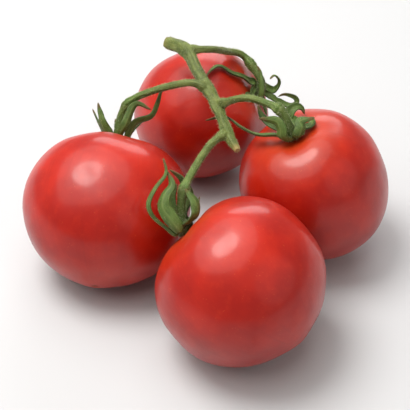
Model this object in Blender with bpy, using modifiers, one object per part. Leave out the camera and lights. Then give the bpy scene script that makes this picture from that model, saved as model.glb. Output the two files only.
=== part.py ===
"""A truss of four tomatoes, cut from the plant and lying on a level surface.

Metres, +Z up, the origin under the middle of the bunch's bounding box. The green stem has one
rachis and four pedicels. Each pedicel ends at a knuckle, where a ripe fruit snaps off, and a
stalk goes on from there to the calyx. Six sepals stand round the foot of each stalk. Pieces
that touch on the plant are kept GAP apart here.

Sepal and stalk routes are given as (across, up, out): across is +X, up climbs a plane that
leans back by LEAN from the level, and out is square to that plane, towards the front.
"""

import math

import bmesh
import bpy
from mathutils import Matrix, Vector
from mathutils.geometry import intersect_point_line

MM = 0.001
GAP = 0.35 * MM
LEAN = math.radians(48)

# Tomatoes: across the widest way, across the other way, and along the stem axis.
FRONT_SIZE = (46.0 * MM, 44.5 * MM, 43.5 * MM)
RIGHT_SIZE = (42.5 * MM, 42.0 * MM, 44.5 * MM)
BACK_SIZE = (40.5 * MM, 40.0 * MM, 42.0 * MM)
LEFT_SIZE = (47.5 * MM, 41.5 * MM, 44.0 * MM)
SHOULDER_FULLNESS = 2.3
DIMPLE_DEPTH = 1.8 * MM
DIMPLE_RADIUS = 6.5 * MM
REST_FLAT = 0.5 * MM
TOMATO_SIDES = 22
PROFILE_STEPS = 14
PROFILE_CROWDING = 1.25

# How the tomatoes stand together: bearings in degrees from +X, and the air between them.
FRONT_PLACE = Vector((10.0 * MM, -38.5 * MM, 0))
RIGHT_BEARING, RIGHT_AIR = 60.5, 0.6 * MM
LEFT_BEARING, LEFT_AIR = 141.5, 2.5 * MM
BACK_BEARING, BACK_AIR = 132.0, 6.5 * MM

# Stem.
PEDUNCLE_RADIUS = 1.9 * MM
RACHIS_TIP_RADIUS = 1.25 * MM
NODE_SWELLING = 0.35 * MM
NODE_LENGTH = 2.5 * MM
PEDICEL_RADIUS = 1.05 * MM
STALK_RADIUS = 1.25 * MM
KNUCKLE_RADIUS = 1.75 * MM
KNUCKLE_LENGTH = 1.8 * MM
KNUCKLE_STRAIGHT = 0.5 * MM
RECEPTACLE_RADIUS = 2.6 * MM
RECEPTACLE_HEIGHT = 1.2 * MM
FOOT_LENGTH = 2.2 * MM
STEM_SIDES_RESOLUTION = 2
RACHIS_POINTS = 26
PEDICEL_POINTS = 14
STALK_POINTS = 9

# Rachis: plan place from the middle of the four tomatoes, and height over the tallest one.
RACHIS_ROUTE = (
    (-14.0, 37.0, 3.0),
    (-8.6, 31.4, 4.2),
    (-5.0, 23.0, 2.6),
    (0.2, 12.2, -1.0),
    (3.4, 2.5, -3.8),
    (6.0, -3.0, -5.0),
)

# Sepals.
SEPAL_THICKNESS = 0.6 * MM
SEPAL_ROOT_WIDTH = 2.1 * MM
SEPAL_TIP_WIDTH = 0.5 * MM
SEPAL_CUP = 0.35
SIDEWAYS_SHARE = 0.6
SEPAL_ROWS = 11
SEPAL_COUNT = 6
SEPAL_CLEARANCE = GAP + SEPAL_THICKNESS
TURN_LIMIT = 0.6
SEPAL_EASING = 2
STEM_EASING = 3

RED = (0.52, 0.022, 0.008)
GREEN = (0.13, 0.2, 0.045)
LEAF_GREEN = (0.06, 0.13, 0.025)


def leaned(across, up, out):
    """A step in millimetres across, up the leaning plane and out of it, as a world vector."""
    return MM * Vector(
        (
            across,
            up * math.cos(LEAN) - out * math.sin(LEAN),
            up * math.sin(LEAN) + out * math.cos(LEAN),
        )
    )


def material(name, colour, roughness):
    made = bpy.data.materials.new(name)
    made.use_nodes = True
    shader = made.node_tree.nodes["Principled BSDF"]
    shader.inputs["Base Color"].default_value = (*colour, 1)
    shader.inputs["Roughness"].default_value = roughness
    shader.inputs["Metallic"].default_value = 0
    return made


def smooth_route(points, count):
    """Points evenly spread along a Catmull-Rom curve through the given ones."""
    ends = [2 * points[0] - points[1], *points, 2 * points[-1] - points[-2]]
    fine = []
    for before, start, end, after in zip(ends, ends[1:], ends[2:], ends[3:]):
        for step in range(24):
            t = step / 24
            fine.append(
                0.5
                * (
                    2 * start
                    + (end - before) * t
                    + (2 * before - 5 * start + 4 * end - after) * t**2
                    + (3 * start - before - 3 * end + after) * t**3
                )
            )
    fine.append(points[-1])
    lengths = [0.0]
    for one, other in zip(fine, fine[1:]):
        lengths.append(lengths[-1] + (other - one).length)
    return [at_length(fine, lengths, lengths[-1] * i / (count - 1)) for i in range(count)]


def at_length(fine, lengths, wanted):
    for i in range(1, len(fine)):
        if lengths[i] >= wanted - 1e-12:
            share = (wanted - lengths[i - 1]) / (lengths[i] - lengths[i - 1])
            return fine[i - 1].lerp(fine[i], share)
    return fine[-1].copy()


def route_length(route):
    return sum((b - a).length for a, b in zip(route, route[1:]))


def eased(route, rounds):
    """The route with its sharp turns softened and its two ends left where they are."""
    for _ in range(rounds):
        inner = [(a + 2 * b + c) / 4 for a, b, c in zip(route, route[1:], route[2:])]
        route = [route[0], *inner, route[-1]]
    return route


def bump(distance, reach):
    return math.exp(-((distance / reach) ** 2))


class Tomato:
    """One fruit: its size, the way its stem end points, and its place once it is set down."""

    def __init__(self, name, size, pole, wide_way):
        self.name = name
        self.wide, self.deep, self.long = size
        z = Vector(pole).normalized()
        x = Vector(wide_way)
        x = (x - x.dot(z) * z).normalized()
        self.turn = Matrix((x, z.cross(x), z)).transposed()
        self.pole = z
        self.profile = self.make_profile()
        self.centre = Vector((0, 0, self.reach((0, 0, -1)) - REST_FLAT))

    def make_profile(self):
        """(radius, height) down the side, for a fruit one metre wide and turned about its axis."""
        found = []
        for step in range(PROFILE_STEPS + 1):
            angle = math.pi * (step / PROFILE_STEPS) ** PROFILE_CROWDING
            fullness = SHOULDER_FULLNESS if angle < math.pi / 2 else 2
            side = math.sin(angle) ** (2 / fullness) if 0 < step < PROFILE_STEPS else 0
            rise = math.copysign(abs(math.cos(angle)) ** (2 / fullness), math.cos(angle))
            found.append((side, self.long / 2 * rise - self.dimple(side) * (angle < math.pi / 2)))
        return found

    def dimple(self, side):
        return DIMPLE_DEPTH * bump(side * self.wide / 2, DIMPLE_RADIUS)

    def reach(self, direction):
        """How far the fruit extends from its centre along a unit direction."""
        way = self.turn.transposed() @ Vector(direction)
        across = math.hypot(way.x * self.wide, way.y * self.deep) / 2
        return max(side * across + height * way.z for side, height in self.profile)

    def height_at(self, radius):
        """Height of the skin over the centre, at this radius from the stem axis."""
        pairs = [(side * self.deep / 2, height) for side, height in self.profile]
        for (r0, h0), (r1, h1) in zip(pairs, pairs[1:]):
            if r1 >= radius:
                return h0 + (h1 - h0) * (radius - r0) / (r1 - r0)
        return pairs[-1][1]

    def clear_of_skin(self, place, clearance):
        """The place itself, or one moved out from this fruit's middle until it clears the skin."""
        step = place - self.centre
        way = self.turn.transposed() @ step
        side, height = 2 * math.hypot(way.x / self.wide, way.y / self.deep), way.z
        for (s0, h0), (s1, h1) in zip(self.profile, self.profile[1:]):
            before, after = side * h0 - height * s0, side * h1 - height * s1
            if before >= 0 >= after and before > after:
                share = before / (before - after)
                at_skin = math.hypot(s0 + (s1 - s0) * share, (h0 + (h1 - h0) * share) / self.long)
                skin = step.length * at_skin / math.hypot(side, height / self.long)
                if step.length < skin + clearance:
                    return self.centre + step * (skin + clearance) / step.length
        return place

    def set_beside(self, other, bearing, air):
        """Moves this fruit out from the other along a bearing, until the air between is left."""
        angle = math.radians(bearing)
        way = Vector((math.cos(angle), math.sin(angle), 0))
        apart = other.reach(way) + self.reach(-way) + air
        self.centre.xy = other.centre.xy + apart * way.xy

    @property
    def top(self):
        return self.centre.z + self.reach((0, 0, 1))

    @property
    def seat(self):
        """Centre of the receptacle's underside."""
        return self.centre + (self.height_at(RECEPTACLE_RADIUS + GAP) + GAP) * self.pole


def add_mesh_object(name, mesh, collection, parent, finish):
    obj = bpy.data.objects.new(name, mesh)
    collection.objects.link(obj)
    obj.parent = parent
    mesh.materials.append(finish)
    return obj


def add_tomato(tomato, collection, root, cutter, finish):
    mesh = bpy.data.meshes.new(tomato.name)
    profile = bmesh.new()
    points = [profile.verts.new((side / 2, 0, height)) for side, height in tomato.profile]
    for one, other in zip(points, points[1:]):
        profile.edges.new((one, other))
    profile.to_mesh(mesh)
    profile.free()
    obj = add_mesh_object(tomato.name, mesh, collection, root, finish)
    obj.matrix_local = Matrix.Translation(tomato.centre) @ tomato.turn.to_4x4()
    obj.scale = (tomato.wide, tomato.deep, 1)
    screw = obj.modifiers.new("turned", "SCREW")
    screw.steps = screw.render_steps = TOMATO_SIDES
    screw.use_merge_vertices = True
    screw.merge_threshold = 0.0001
    screw.use_smooth_shade = True
    cut = obj.modifiers.new("rests_flat", "BOOLEAN")
    cut.object = cutter
    return obj


def add_ground_cutter(collection, root, width):
    bpy.ops.mesh.primitive_cube_add(size=1)
    cutter = bpy.context.object
    cutter.name = "ground_cutter"
    cutter.scale = (width, width, width)
    cutter.location = (0, 0, -width / 2)
    for holder in cutter.users_collection:
        holder.objects.unlink(cutter)
    collection.objects.link(cutter)
    cutter.parent = root
    cutter.hide_render = True
    cutter.display_type = "WIRE"
    return cutter


def add_stem(name, route, radii, collection, root, finish):
    """A round stem along a route, with its own radius at each point and flat ends."""
    curve = bpy.data.curves.new(name, "CURVE")
    curve.dimensions = "3D"
    curve.bevel_depth = MM
    curve.bevel_resolution = STEM_SIDES_RESOLUTION
    curve.use_fill_caps = True
    spline = curve.splines.new("POLY")
    spline.points.add(len(route) - 1)
    for point, place, radius in zip(spline.points, route, radii):
        point.co = (*place, 1)
        point.radius = radius / MM
    obj = bpy.data.objects.new(name, curve)
    collection.objects.link(obj)
    obj.parent = root
    curve.materials.append(finish)
    return obj


def start_on_rachis(route, index, rachis_radius, towards, branch_radius):
    """Where a pedicel leaves the rachis, so that its flat end just clears the rachis's side."""
    way = (towards - route[index]).normalized()
    along = (route[index + 1] - route[index - 1]).normalized()
    cosine = abs(way.dot(along))
    sine = math.sqrt(1 - cosine**2)
    return route[index] + way * (rachis_radius + GAP + branch_radius * cosine) / sine


def split_at_knuckle(route, distance):
    """The stretch up to the knuckle, and the one beyond it, with level faces GAP apart."""
    total = route_length(route)
    at_knuckle = max(1, round((1 - distance / total) * (len(route) - 1)))
    knuckle = route[at_knuckle]
    way = (route[at_knuckle + 1] - route[at_knuckle - 1]).normalized()
    face, straight = way * GAP / 2, way * (GAP / 2 + KNUCKLE_STRAIGHT)
    before = [*route[:at_knuckle], knuckle - straight, knuckle - face]
    clear = 2 * straight.length
    beyond = [place for place in route[at_knuckle + 1 :] if (place - knuckle).length > clear]
    after = [knuckle + face, knuckle + straight, *beyond]
    return before, after, knuckle


def clear_of_fruits(route, tomatoes, clearance, kept):
    """The route with each point moved clear of every fruit, apart from the kept last few."""
    free = len(route) - kept
    for tomato in tomatoes:
        route = [tomato.clear_of_skin(p, clearance) if i < free else p for i, p in enumerate(route)]
    return route


def add_fruit_stem(tomato, tomatoes, plan, rachis, collection, root, finish):
    """The pedicel from the rachis to the knuckle, and the stalk from there to the calyx.

    It gives back the route and the radii of both.
    """
    share, from_rachis, from_seat, knuckle_distance = plan
    rachis_route, rachis_radii = rachis
    index = round(share * (len(rachis_route) - 1))
    seat = tomato.seat
    first = [rachis_route[index] + MM * Vector(step) for step in from_rachis]
    last = [seat + leaned(*step) for step in from_seat]
    start = start_on_rachis(rachis_route, index, rachis_radii[index], first[0], PEDICEL_RADIUS)
    foot = [seat + tomato.pole * FOOT_LENGTH * share for share in (1, 0.75, 0.5, 0.25, 0)]
    route = smooth_route([start, *first, *last, foot[0]], PEDICEL_POINTS + STALK_POINTS)
    route = clear_of_fruits(route, tomatoes, KNUCKLE_RADIUS + GAP, 1)
    route = eased(route + foot[1:-1], STEM_EASING) + foot[-1:]
    before, after, knuckle = split_at_knuckle(route, knuckle_distance)

    def radius(place, plain):
        swelling = (KNUCKLE_RADIUS - plain) * bump((place - knuckle).length, KNUCKLE_LENGTH)
        foot_flare = (RECEPTACLE_RADIUS - plain) * bump((place - seat).length, RECEPTACLE_HEIGHT)
        return plain + swelling + foot_flare

    short = tomato.name.split("_")[0]
    pedicel_radii = [radius(place, PEDICEL_RADIUS) for place in before]
    add_stem(f"{short}_pedicel", before, pedicel_radii, collection, root, finish)
    stalk_radii = [radius(place, STALK_RADIUS) for place in after]
    add_stem(f"{short}_stalk", after, stalk_radii, collection, root, finish)
    return (before, pedicel_radii), (after, stalk_radii)


def clear_of_stem(place, stem, clearance):
    """The place itself, or one moved straight off a stem until it is clear of its side."""
    route, radii = stem
    for one, other, radius in zip(route, route[1:], radii[1:]):
        nearest, share = intersect_point_line(place, one, other)
        nearest = one.lerp(other, min(max(share, 0), 1))
        step = place - nearest
        if step.length < radius + clearance:
            place = nearest + step.normalized() * (radius + clearance)
    return place


def sepal_width(share, widest):
    """Width along a sepal: narrow root, widest at a quarter of the way, long thin tip."""
    if share < 0.25:
        return SEPAL_ROOT_WIDTH + (widest - SEPAL_ROOT_WIDTH) * math.sin(2 * math.pi * share)
    fade = math.cos(math.pi / 2 * (share - 0.25) / 0.75)
    return SEPAL_TIP_WIDTH + (widest - SEPAL_TIP_WIDTH) * fade


def narrowed_in_turns(frames, halves):
    """Half widths, cut down where a sepal turns so tightly that its inner edge would fold over."""
    halves = list(halves)
    for i, (one, other) in enumerate(zip(frames, frames[1:])):
        step = other[0] - one[0]
        turning = abs((other[1] - one[1]).dot(step))
        limit = TURN_LIMIT * step.length_squared / max(turning, 1e-12)
        halves[i] = min(halves[i], limit)
        halves[i + 1] = min(halves[i + 1], limit)
    return halves


def add_sepal(tomato, tomatoes, stems, number, angle, widest, steps, collection, root, finish):
    """A narrow cupped leaf whose root stands by the receptacle's rim and follows its route."""
    seat = tomato.seat
    root_radius = RECEPTACLE_RADIUS + 1.4 * GAP + SEPAL_THICKNESS / 2
    spoke = tomato.turn @ Vector((math.cos(angle), math.sin(angle), 0))
    lift = tomato.height_at(root_radius + 2 * MM) - tomato.height_at(RECEPTACLE_RADIUS)
    foot = seat + root_radius * spoke + (lift + SEPAL_THICKNESS) * tomato.pole
    route = smooth_route([foot, *(seat + leaned(*step) for step in steps)], SEPAL_ROWS)
    for i in range(SEPAL_ROWS):
        half = sepal_width(i / (SEPAL_ROWS - 1), widest) / 2
        for stem in stems:
            route[i] = clear_of_stem(route[i], stem, SEPAL_CLEARANCE + SIDEWAYS_SHARE * half)
    route = clear_of_fruits(route, tomatoes, SEPAL_CLEARANCE, 0)
    route = clear_of_fruits(eased(route, SEPAL_EASING), tomatoes, SEPAL_CLEARANCE, 0)
    normal = tomato.pole.copy()
    frames = []
    for i, place in enumerate(route):
        along = (route[min(i + 1, SEPAL_ROWS - 1)] - route[max(i - 1, 0)]).normalized()
        normal = (normal - normal.dot(along) * along).normalized()
        frames.append((place, along.cross(normal), normal.copy()))
    halves = [sepal_width(i / (SEPAL_ROWS - 1), widest) / 2 for i in range(SEPAL_ROWS)]
    halves = narrowed_in_turns(frames, halves)

    name = f"{tomato.name.split('_')[0]}_sepal_{number}"
    mesh = bpy.data.meshes.new(name)
    blade = bmesh.new()
    bmesh.ops.create_grid(blade, x_segments=2, y_segments=SEPAL_ROWS - 1, size=1)
    for vert in blade.verts:
        row = round((vert.co.y + 1) / 2 * (SEPAL_ROWS - 1))
        place, side, up = frames[row]
        half = halves[row]
        vert.co = place + side * half * vert.co.x + up * SEPAL_CUP * half * vert.co.x**2
    bmesh.ops.recalc_face_normals(blade, faces=blade.faces)
    blade.to_mesh(mesh)
    blade.free()
    obj = add_mesh_object(name, mesh, collection, root, finish)
    shell = obj.modifiers.new("thickness", "SOLIDIFY")
    shell.thickness = SEPAL_THICKNESS
    shell.offset = 0
    return obj


# For each fruit: how far along the rachis its pedicel starts, the pedicel's next points from
# there (x, y, z), the stalk's points from the seat (across, up, out), and how far from the
# seat the knuckle is.
STEM_PLANS = {
    "front_tomato": (0.85, [(-5.0, -6.5, 0.6)], [(-0.7, 11.0, 0.0), (-1.4, 5.5, -0.5)], 11.4 * MM),
    "right_tomato": (0.64, [(7.5, -3.0, 5.0)], [(-8.0, 9.0, 0.5), (-3.2, 6.5, 2.0)], 8.5 * MM),
    "back_tomato": (
        0.17,
        [(8.0, 0.4, 0.0)],
        [(-5.8, 11.2, 1.0), (-0.2, 6.2, 1.4), (2.2, 3.0, 2.2)],
        10.6 * MM,
    ),
    "left_tomato": (0.52, [(-5.0, 1.2, 2.0)], [(6.0, 13.0, 2.5), (1.0, 7.2, -0.5)], 12.0 * MM),
}

# For each fruit: the turn of its first sepal in degrees, then each sepal's greatest width in
# millimetres and the points that it passes, (across, up, out) in millimetres from the seat.
SEPAL_PLANS = {
    "front_tomato": (
        190,
        (
            2.0,
            [
                (-5.6, 0.5, 1.0),
                (-9.0, 3.5, 2.4),
                (-10.1, 6.9, 3.2),
                (-8.1, 11.2, 3.0),
                (-5.3, 15.1, 2.5),
                (-6.0, 19.0, 2.0),
            ],
        ),
        (
            5.0,
            [
                (-3.5, 2.2, 4.0),
                (-6.1, 6.0, 4.0),
                (-5.5, 9.5, 3.6),
                (-3.8, 12.1, 3.0),
                (-4.9, 15.5, 2.2),
            ],
        ),
        (5.0, [(0.9, 2.0, 3.4), (2.9, 4.3, 3.2), (2.4, 7.3, 2.8), (-0.2, 10.8, 2.2)]),
        (3.4, [(2.6, 4.6, -1.7), (3.5, 8.6, -2.4)]),
        (4.4, [(-1.1, 4.2, -4.0), (0.8, 9.0, -4.2), (-0.9, 13.4, -3.4), (-4.4, 16.0, -2.4)]),
        (4.4, [(-3.5, 3.3, -3.2), (-4.2, 7.7, -3.2), (-2.6, 12.1, -2.4)]),
    ),
    "right_tomato": (
        130,
        (3.2, [(-4.6, 2.2, -2.2), (-7.0, 3.9, -3.2), (-8.5, 5.7, -4.0), (-9.4, 8.5, -4.5)]),
        (
            2.8,
            [
                (-5.0, -0.3, 1.4),
                (-9.5, -0.2, -0.4),
                (-14.0, 2.0, -4.2),
                (-18.6, 5.3, -7.2),
                (-24.2, 4.5, -8.5),
            ],
        ),
        (4.2, [(-3.5, -0.9, 4.6), (-3.7, 1.5, 5.6), (-5.1, 3.5, 5.6), (-9.5, 4.3, 4.6)]),
        (4.2, [(1.3, -0.5, 4.4), (2.2, 1.8, 4.8), (1.8, 3.6, 4.2), (5.7, 4.6, 2.8)]),
        (3.0, [(5.2, 1.4, 0.1), (5.5, 2.9, -0.4), (4.7, 4.1, -0.9), (3.1, 3.9, -1.4)]),
        (
            4.2,
            [
                (-1.2, 4.6, -3.6),
                (-0.3, 6.8, -3.3),
                (1.4, 8.1, -3.4),
                (3.0, 7.5, -3.7),
                (3.6, 6.1, -4.0),
            ],
        ),
    ),
    "back_tomato": (
        66,
        (
            3.2,
            [
                (-2.8, 2.2, 3.6),
                (-5.2, 3.1, 5.4),
                (-8.3, 3.6, 7.0),
                (-11.3, 6.2, 7.8),
                (-13.8, 4.9, 9.0),
                (-16.0, 2.1, 10.6),
            ],
        ),
        (2.4, [(-2.2, -1.8, 5.0), (-3.8, -1.6, 6.4), (-4.8, -3.6, 7.0)]),
        (2.0, [(1.5, -1.1, 4.8), (1.5, 2.3, 5.4), (1.3, 5.3, 5.0), (0.4, 7.3, 4.6)]),
        (3.0, [(2.3, -4.0, 0.8), (3.3, -7.0, 0.8)]),
        (
            3.0,
            [
                (4.9, -1.8, -1.8),
                (8.0, -3.4, -2.5),
                (11.0, -4.3, -2.5),
                (12.9, -3.3, -2.5),
                (12.4, -1.6, -2.5),
                (9.3, -0.6, -2.5),
                (7.3, -1.1, -2.5),
            ],
        ),
        (
            2.8,
            [
                (5.2, 0.6, -3.2),
                (7.0, 1.6, -1.8),
                (7.4, 3.6, -0.4),
                (5.8, 5.0, 0.8),
                (4.4, 3.8, 1.6),
            ],
        ),
    ),
    "left_tomato": (
        40,
        (3.4, [(4.2, 3.0, -3.6), (7.0, 6.0, -5.0)]),
        (3.4, [(0.0, 3.4, -5.4), (-1.0, 7.0, -8.0)]),
        (3.6, [(-5.0, 4.4, -2.0), (-7.2, 9.5, -2.4)]),
        (4.2, [(-4.2, 5.6, 2.6), (-5.2, 11.0, 2.6)]),
        (3.0, [(2.8, 5.0, 4.0), (5.6, 10.7, 3.8), (9.9, 9.2, 4.4)]),
        (
            3.4,
            [
                (5.4, 5.2, 1.2),
                (10.2, 7.1, 1.0),
                (12.1, 10.9, 0.6),
                (13.2, 15.2, 0.3),
                (15.8, 16.9, 0.0),
                (18.7, 16.9, -0.6),
            ],
        ),
    ),
}


def clear_scene():
    for obj in list(bpy.data.objects):
        bpy.data.objects.remove(obj)


def new_collection(name):
    made = bpy.data.collections.new(name)
    bpy.context.scene.collection.children.link(made)
    return made


def place_tomatoes():
    front = Tomato("front_tomato", FRONT_SIZE, (-0.72, 0.46, 0.52), (0.6, 0.5, 0.6))
    right = Tomato("right_tomato", RIGHT_SIZE, (-0.35, -0.02, 0.94), (1, 0, 0))
    back = Tomato("back_tomato", BACK_SIZE, (0.85, -0.12, 0.51), (0, 1, 0))
    left = Tomato("left_tomato", LEFT_SIZE, (0.12, 0.86, 0.49), (1, 0, 0))
    front.centre.xy = FRONT_PLACE.xy
    right.set_beside(front, RIGHT_BEARING, RIGHT_AIR)
    left.set_beside(front, LEFT_BEARING, LEFT_AIR)
    back.set_beside(right, BACK_BEARING, BACK_AIR)
    return [front, right, back, left]


def rachis_route_over(tomatoes):
    middle = sum((tomato.centre for tomato in tomatoes), Vector()) / len(tomatoes)
    middle.z = max(tomato.top for tomato in tomatoes)
    return smooth_route([middle + MM * Vector(step) for step in RACHIS_ROUTE], RACHIS_POINTS)


def rachis_radii(route, nodes):
    radii = []
    for i, place in enumerate(route):
        plain = PEDUNCLE_RADIUS + (RACHIS_TIP_RADIUS - PEDUNCLE_RADIUS) * i / (len(route) - 1)
        nearest = min((place - route[node]).length for node in nodes)
        radii.append(plain + NODE_SWELLING * bump(nearest, NODE_LENGTH))
    return radii


def centre_over_origin(root, collection):
    bpy.context.view_layer.update()
    graph = bpy.context.evaluated_depsgraph_get()
    corners = []
    for obj in collection.objects:
        if obj.type == "EMPTY":
            continue
        evaluated = obj.evaluated_get(graph)
        mesh = evaluated.to_mesh()
        corners += [evaluated.matrix_world @ vert.co for vert in mesh.vertices]
        evaluated.to_mesh_clear()
    for axis in (0, 1):
        values = [corner[axis] for corner in corners]
        root.location[axis] -= (min(values) + max(values)) / 2
    root.location.z -= min(corner.z for corner in corners)


def main():
    clear_scene()
    parts = new_collection("tomato_truss")
    cutters = new_collection("cutters")
    root = bpy.data.objects.new("truss_origin", None)
    parts.objects.link(root)
    skin = material("tomato_skin", RED, 0.25)
    stem = material("green_stem", GREEN, 0.6)
    leaf = material("sepal_leaf", LEAF_GREEN, 0.6)

    tomatoes = place_tomatoes()
    cutter = add_ground_cutter(cutters, root, 0.4)
    for tomato in tomatoes:
        add_tomato(tomato, parts, root, cutter, skin)

    route = rachis_route_over(tomatoes)
    nodes = [round(plan[0] * (RACHIS_POINTS - 1)) for plan in STEM_PLANS.values()]
    rachis = (route, rachis_radii(route, nodes))
    add_stem("rachis", *rachis, parts, root, stem)
    stems = [rachis]
    for tomato in tomatoes:
        stems += add_fruit_stem(tomato, tomatoes, STEM_PLANS[tomato.name], rachis, parts, root, stem)
    for tomato in tomatoes:
        turn, *sepals = SEPAL_PLANS[tomato.name]
        for number, (widest, steps) in enumerate(sepals, 1):
            angle = math.radians(turn + 360 / SEPAL_COUNT * (number - 1))
            shape = (number, angle, widest * MM, steps)
            add_sepal(tomato, tomatoes, stems, *shape, parts, root, leaf)
    centre_over_origin(root, parts)


main()
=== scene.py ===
"""A truss of four ripe tomatoes lying on a pale table: fruit, stem, calyxes and fuzz."""

import math
import random

import bpy
import numpy as np
from mathutils import Matrix, Vector


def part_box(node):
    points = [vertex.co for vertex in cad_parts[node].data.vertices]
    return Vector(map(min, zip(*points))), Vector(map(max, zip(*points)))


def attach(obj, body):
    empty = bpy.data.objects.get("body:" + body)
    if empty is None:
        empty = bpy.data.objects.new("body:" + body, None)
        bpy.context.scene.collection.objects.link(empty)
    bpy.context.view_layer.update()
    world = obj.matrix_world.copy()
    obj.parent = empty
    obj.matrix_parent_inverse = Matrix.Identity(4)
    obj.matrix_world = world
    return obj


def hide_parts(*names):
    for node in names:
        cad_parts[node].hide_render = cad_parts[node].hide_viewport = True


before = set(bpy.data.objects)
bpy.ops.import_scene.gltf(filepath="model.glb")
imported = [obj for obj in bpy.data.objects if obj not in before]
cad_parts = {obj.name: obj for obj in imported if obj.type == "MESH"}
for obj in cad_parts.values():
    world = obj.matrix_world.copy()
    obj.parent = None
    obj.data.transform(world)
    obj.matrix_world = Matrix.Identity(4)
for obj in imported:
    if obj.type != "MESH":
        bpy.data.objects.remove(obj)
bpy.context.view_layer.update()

MM = 0.001
GAP = 0.35 * MM
LEAN = math.radians(48)

# ---------------------------------------------------------------- layout of the bunch

SHOULDER_FULLNESS = 2.3
DIMPLE_DEPTH = 1.8 * MM
DIMPLE_RADIUS = 6.5 * MM
PROFILE_STEPS = 56

PEDUNCLE_RADIUS = 1.9 * MM
RACHIS_TIP_RADIUS = 1.25 * MM
PEDICEL_RADIUS = 1.02 * MM
STALK_RADIUS = 1.15 * MM
KNUCKLE_RADIUS = 1.7 * MM
KNUCKLE_LENGTH = 1.7 * MM
RECEPTACLE_RADIUS = 2.6 * MM
SEAT_RADIUS = RECEPTACLE_RADIUS + GAP

# Each fruit: across the widest way, across the other way, along the stem axis (all in
# millimetres), the way its stem end points, and its widest way.
FRUITS = {
    "front": ((46.0, 44.5, 43.5), (-0.72, 0.46, 0.52), (0.6, 0.5, 0.6)),
    "right": ((42.5, 42.0, 44.5), (-0.35, -0.02, 0.94), (1, 0, 0)),
    "back": ((40.5, 40.0, 42.0), (0.85, -0.12, 0.51), (0, 1, 0)),
    "left": ((47.5, 41.5, 44.0), (0.12, 0.86, 0.49), (1, 0, 0)),
}

# Rachis: plan place from the middle of the four fruits, and height over the tallest one.
RACHIS_ROUTE = (
    (-14.0, 37.0, 3.0),
    (-8.6, 31.4, 4.2),
    (-5.0, 23.0, 2.6),
    (0.2, 12.2, -1.0),
    (3.4, 2.5, -3.8),
    (6.0, -3.0, -5.0),
)

# For each fruit: how far along the rachis its pedicel starts, the pedicel's next points from
# there (x, y, z), the stalk's points from the seat (across, up, out), and how far from the
# seat the knuckle is.
STEM_PLANS = {
    "front": (0.85, [(-5.0, -6.5, 0.6)], [(-0.7, 11.0, 0.0), (-1.4, 5.5, -0.5)], 11.4 * MM),
    "right": (0.64, [(7.5, -3.0, 5.0)], [(-8.0, 9.0, 0.5), (-3.2, 6.5, 2.0)], 8.5 * MM),
    "back": (
        0.17,
        [(8.0, 0.4, 0.0)],
        [(-5.8, 11.2, 1.0), (-0.2, 6.2, 1.4), (2.2, 3.0, 2.2)],
        10.6 * MM,
    ),
    "left": (0.52, [(-5.0, 1.2, 2.0)], [(6.0, 13.0, 2.5), (1.0, 7.2, -0.5)], 12.0 * MM),
}


def leaned(across, up, out):
    """A step in millimetres across, up the leaning plane and out of it, as a world vector."""
    return MM * Vector(
        (
            across,
            up * math.cos(LEAN) - out * math.sin(LEAN),
            up * math.sin(LEAN) + out * math.cos(LEAN),
        )
    )


def bump(distance, reach):
    return math.exp(-((distance / reach) ** 2))


def smooth_route(points, count):
    """Points evenly spread along a Catmull-Rom curve through the given ones."""
    ends = [2 * points[0] - points[1], *points, 2 * points[-1] - points[-2]]
    fine = []
    for before, start, end, after in zip(ends, ends[1:], ends[2:], ends[3:]):
        for step in range(24):
            t = step / 24
            fine.append(
                0.5
                * (
                    2 * start
                    + (end - before) * t
                    + (2 * before - 5 * start + 4 * end - after) * t**2
                    + (3 * start - before - 3 * end + after) * t**3
                )
            )
    fine.append(points[-1])
    lengths = [0.0]
    for one, other in zip(fine, fine[1:]):
        lengths.append(lengths[-1] + (other - one).length)
    found, i = [], 1
    for k in range(count):
        wanted = lengths[-1] * k / (count - 1)
        while i < len(fine) - 1 and lengths[i] < wanted:
            i += 1
        share = (wanted - lengths[i - 1]) / max(lengths[i] - lengths[i - 1], 1e-9)
        found.append(fine[i - 1].lerp(fine[i], min(max(share, 0), 1)))
    return found


def carried_frames(route, first_up):
    """(place, side, up, along) at each point, with the up direction carried along unturned."""
    up, found = first_up.copy(), []
    for i, place in enumerate(route):
        along = (route[min(i + 1, len(route) - 1)] - route[max(i - 1, 0)]).normalized()
        up = (up - up.dot(along) * along).normalized()
        found.append((place, along.cross(up), up.copy(), along))
    return found


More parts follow.
